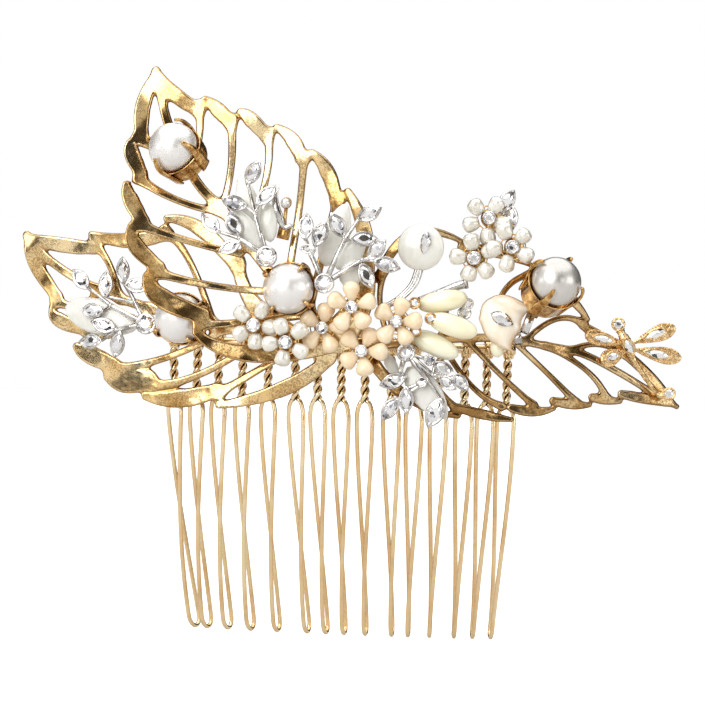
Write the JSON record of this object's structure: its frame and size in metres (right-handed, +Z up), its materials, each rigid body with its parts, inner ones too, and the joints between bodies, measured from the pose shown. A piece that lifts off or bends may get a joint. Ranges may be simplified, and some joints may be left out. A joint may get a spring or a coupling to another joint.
{
  "type": "decorative hair comb",
  "caption": "Wire hair comb dressed with openwork metal leaves, pearls, shell petals, bead flowers, stone sprays and a dragonfly; slides into hair to hold or decorate it.",
  "frame": {"origin": "middle of the comb's spine, on the centre line of the spine wire", "axes": "+X along the spine, +Y towards the head behind the comb, +Z up, away from the tooth tips; the decorated side faces -Y"},
  "size_m": [0.1151, 0.031, 0.0969],
  "materials": {
    "comb_wire": "polished pale gold plate with dark lines where wires touch",
    "antique_gold": "antique gold plate, hammered, brown patina in the hollows",
    "claw_metal": "bright pale plate",
    "bright_gold": "polished gold plate with beaded edges",
    "silver_wire": "polished silver plate",
    "crystal": "faceted, foil backed",
    "pearl": "satin pearl coating",
    "mother_of_pearl": "polished, cloudy white",
    "ivory_shell": "polished, warm ivory",
    "white_bead": "glossy milky white",
    "peach_bead": "glossy opaque peach",
    "cream_bead": "satin cream"
  },
  "bodies": {
    "root": {"branch_stem": "silver_wire", "comb_spine": "comb_wire", "dragonfly": "bright_gold", "fixing_bar": "comb_wire", "flower_peach_left": "peach_bead", "flower_peach_low": "peach_bead", "flower_peach_right": "peach_bead", "flower_peach_top": "peach_bead", "flower_white_left": "white_bead", "flower_white_low": "white_bead", "flower_white_middle": "white_bead", "flower_white_right": "white_bead", "flower_white_top": "white_bead", "leaf_left": "antique_gold", "leaf_right": "antique_gold", "leaf_upper": "antique_gold", "long_bead_low": "cream_bead", "long_bead_middle": "cream_bead", "long_bead_top": "cream_bead", "pearl_cup_left": "claw_metal", "pearl_cup_middle": "claw_metal", "pearl_cup_right": "claw_metal", "pearl_cup_upper": "claw_metal", "pearl_left": "pearl", "pearl_middle": "pearl", "pearl_right": "pearl", "pearl_upper": "pearl", "petal_centre_long": "mother_of_pearl", "petal_centre_low": "mother_of_pearl", "petal_centre_side": "mother_of_pearl", "petal_left": "mother_of_pearl", "petal_lower_large": "mother_of_pearl", "petal_lower_small": "mother_of_pearl", "petal_upper_long": "mother_of_pearl", "petal_upper_side": "mother_of_pearl", "petal_upper_small": "mother_of_pearl", "shell_bell": "ivory_shell", "shell_button": "mother_of_pearl", "spray_centre": "crystal", "spray_left": "crystal", "spray_lower": "crystal", "spray_right": "crystal", "spray_upper": "crystal", "tooth_01": "comb_wire", "tooth_02": "comb_wire", "tooth_03": "comb_wire", "tooth_04": "comb_wire", "tooth_05": "comb_wire", "tooth_06": "comb_wire", "tooth_07": "comb_wire", "tooth_08": "comb_wire", "tooth_09": "comb_wire", "tooth_10": "comb_wire", "tooth_11": "comb_wire", "tooth_12": "comb_wire", "tooth_13": "comb_wire", "tooth_14": "comb_wire", "tooth_15": "comb_wire"}
  },
  "joints": []
}
